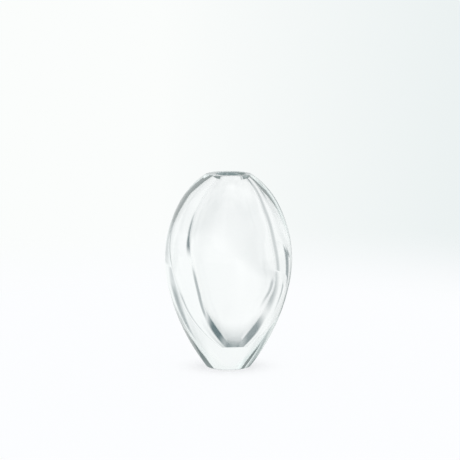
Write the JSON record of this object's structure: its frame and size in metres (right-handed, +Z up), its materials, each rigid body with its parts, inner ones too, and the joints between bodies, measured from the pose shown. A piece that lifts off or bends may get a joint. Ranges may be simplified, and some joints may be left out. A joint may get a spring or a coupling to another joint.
{
  "type": "bud vase",
  "caption": "Egg-shaped bud vase of thick clear glass, with a flat ground foot, a small round mouth and a flat polished rim.",
  "frame": {"origin": "middle of the flat foot, where the vase stands", "axes": "+Z up along the vase's axis to the mouth, -Y towards the viewer, +X to the right"},
  "size_m": [0.0784, 0.0784, 0.12],
  "materials": {
    "clear_glass": "polished clear soda-lime glass with a faint grey-green tint in the thick wall"
  },
  "bodies": {
    "root": {"vase_body": "clear_glass"}
  },
  "joints": []
}
